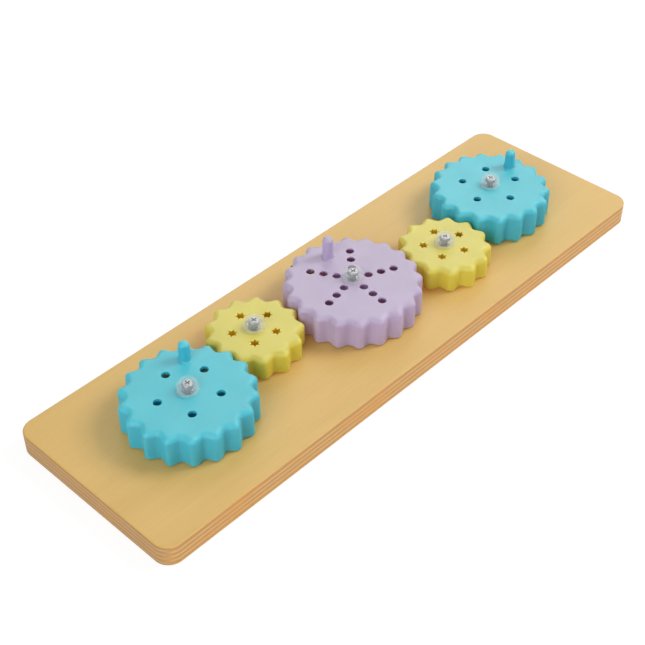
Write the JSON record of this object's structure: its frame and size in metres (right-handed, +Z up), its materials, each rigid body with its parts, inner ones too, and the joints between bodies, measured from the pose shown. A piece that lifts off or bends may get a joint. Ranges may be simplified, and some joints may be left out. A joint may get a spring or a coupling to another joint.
{
  "type": "crank gear toy",
  "caption": "Row of wavy-toothed plastic gears meshing on a plywood board, turned by finger pegs, each held by a screw under a clear cap.",
  "frame": {"origin": "middle of the board's underside", "axes": "+X along the board towards the blue gear whose peg points along the board, +Y across the board towards the long edge nearest the left yellow gear, +Z up"},
  "size_m": [0.5, 0.1536, 0.0608],
  "materials": {
    "plywood": "clear satin veneer, open ply edge",
    "purple_plastic": "fine moulded matte",
    "yellow_plastic": "fine moulded matte",
    "blue_plastic": "fine moulded matte",
    "washer_plastic": "natural, smooth",
    "steel": "zinc plated",
    "clear_plastic": "clear, polished"
  },
  "bodies": {
    "base": {"board": "plywood", "purple_sleeve": "steel", "purple_thrust_washer": "washer_plastic", "purple_screw": "steel", "purple_cap_base": "clear_plastic", "purple_cap_dome": "clear_plastic", "left_yellow_sleeve": "steel", "left_yellow_thrust_washer": "washer_plastic", "left_yellow_screw": "steel", "left_yellow_cap_base": "clear_plastic", "left_yellow_cap_dome": "clear_plastic", "right_yellow_sleeve": "steel", "right_yellow_thrust_washer": "washer_plastic", "right_yellow_screw": "steel", "right_yellow_cap_base": "clear_plastic", "right_yellow_cap_dome": "clear_plastic", "left_blue_sleeve": "steel", "left_blue_thrust_washer": "washer_plastic", "left_blue_screw": "steel", "left_blue_cap_base": "clear_plastic", "left_blue_cap_dome": "clear_plastic", "right_blue_sleeve": "steel", "right_blue_thrust_washer": "washer_plastic", "right_blue_screw": "steel", "right_blue_cap_base": "clear_plastic", "right_blue_cap_dome": "clear_plastic"},
    "purple_turning_gear": {"purple_gear": "purple_plastic"},
    "left_yellow_turning_gear": {"left_yellow_gear": "yellow_plastic"},
    "right_yellow_turning_gear": {"right_yellow_gear": "yellow_plastic"},
    "left_blue_turning_gear": {"left_blue_gear": "blue_plastic"},
    "right_blue_turning_gear": {"right_blue_gear": "blue_plastic"}
  },
  "joints": [
    {"name": "purple_spin", "type": "hinge", "parent": "base", "child": "purple_turning_gear", "pos_m": [0, 0, 0.03], "axis": [0, 0, 1], "continuous": true},
    {"name": "left_yellow_spin", "type": "hinge", "parent": "base", "child": "left_yellow_turning_gear", "pos_m": [-0.08313, 0.018, 0.03], "axis": [0, 0, 1], "continuous": true},
    {"name": "right_yellow_spin", "type": "hinge", "parent": "base", "child": "right_yellow_turning_gear", "pos_m": [0.08313, -0.018, 0.03], "axis": [0, 0, 1], "continuous": true},
    {"name": "left_blue_spin", "type": "hinge", "parent": "base", "child": "left_blue_turning_gear", "pos_m": [-0.16101, 0, 0.03], "axis": [0, 0, 1], "continuous": true},
    {"name": "right_blue_spin", "type": "hinge", "parent": "base", "child": "right_blue_turning_gear", "pos_m": [0.16101, 0, 0.03], "axis": [0, 0, 1], "continuous": true}
  ],
  "couplings": [
    {"joint": "left_yellow_spin", "follows": "purple_spin", "ratio": -1.5385},
    {"joint": "right_yellow_spin", "follows": "purple_spin", "ratio": -1.5385},
    {"joint": "left_blue_spin", "follows": "purple_spin", "ratio": 1.1111},
    {"joint": "right_blue_spin", "follows": "purple_spin", "ratio": 1.1111}
  ]
}
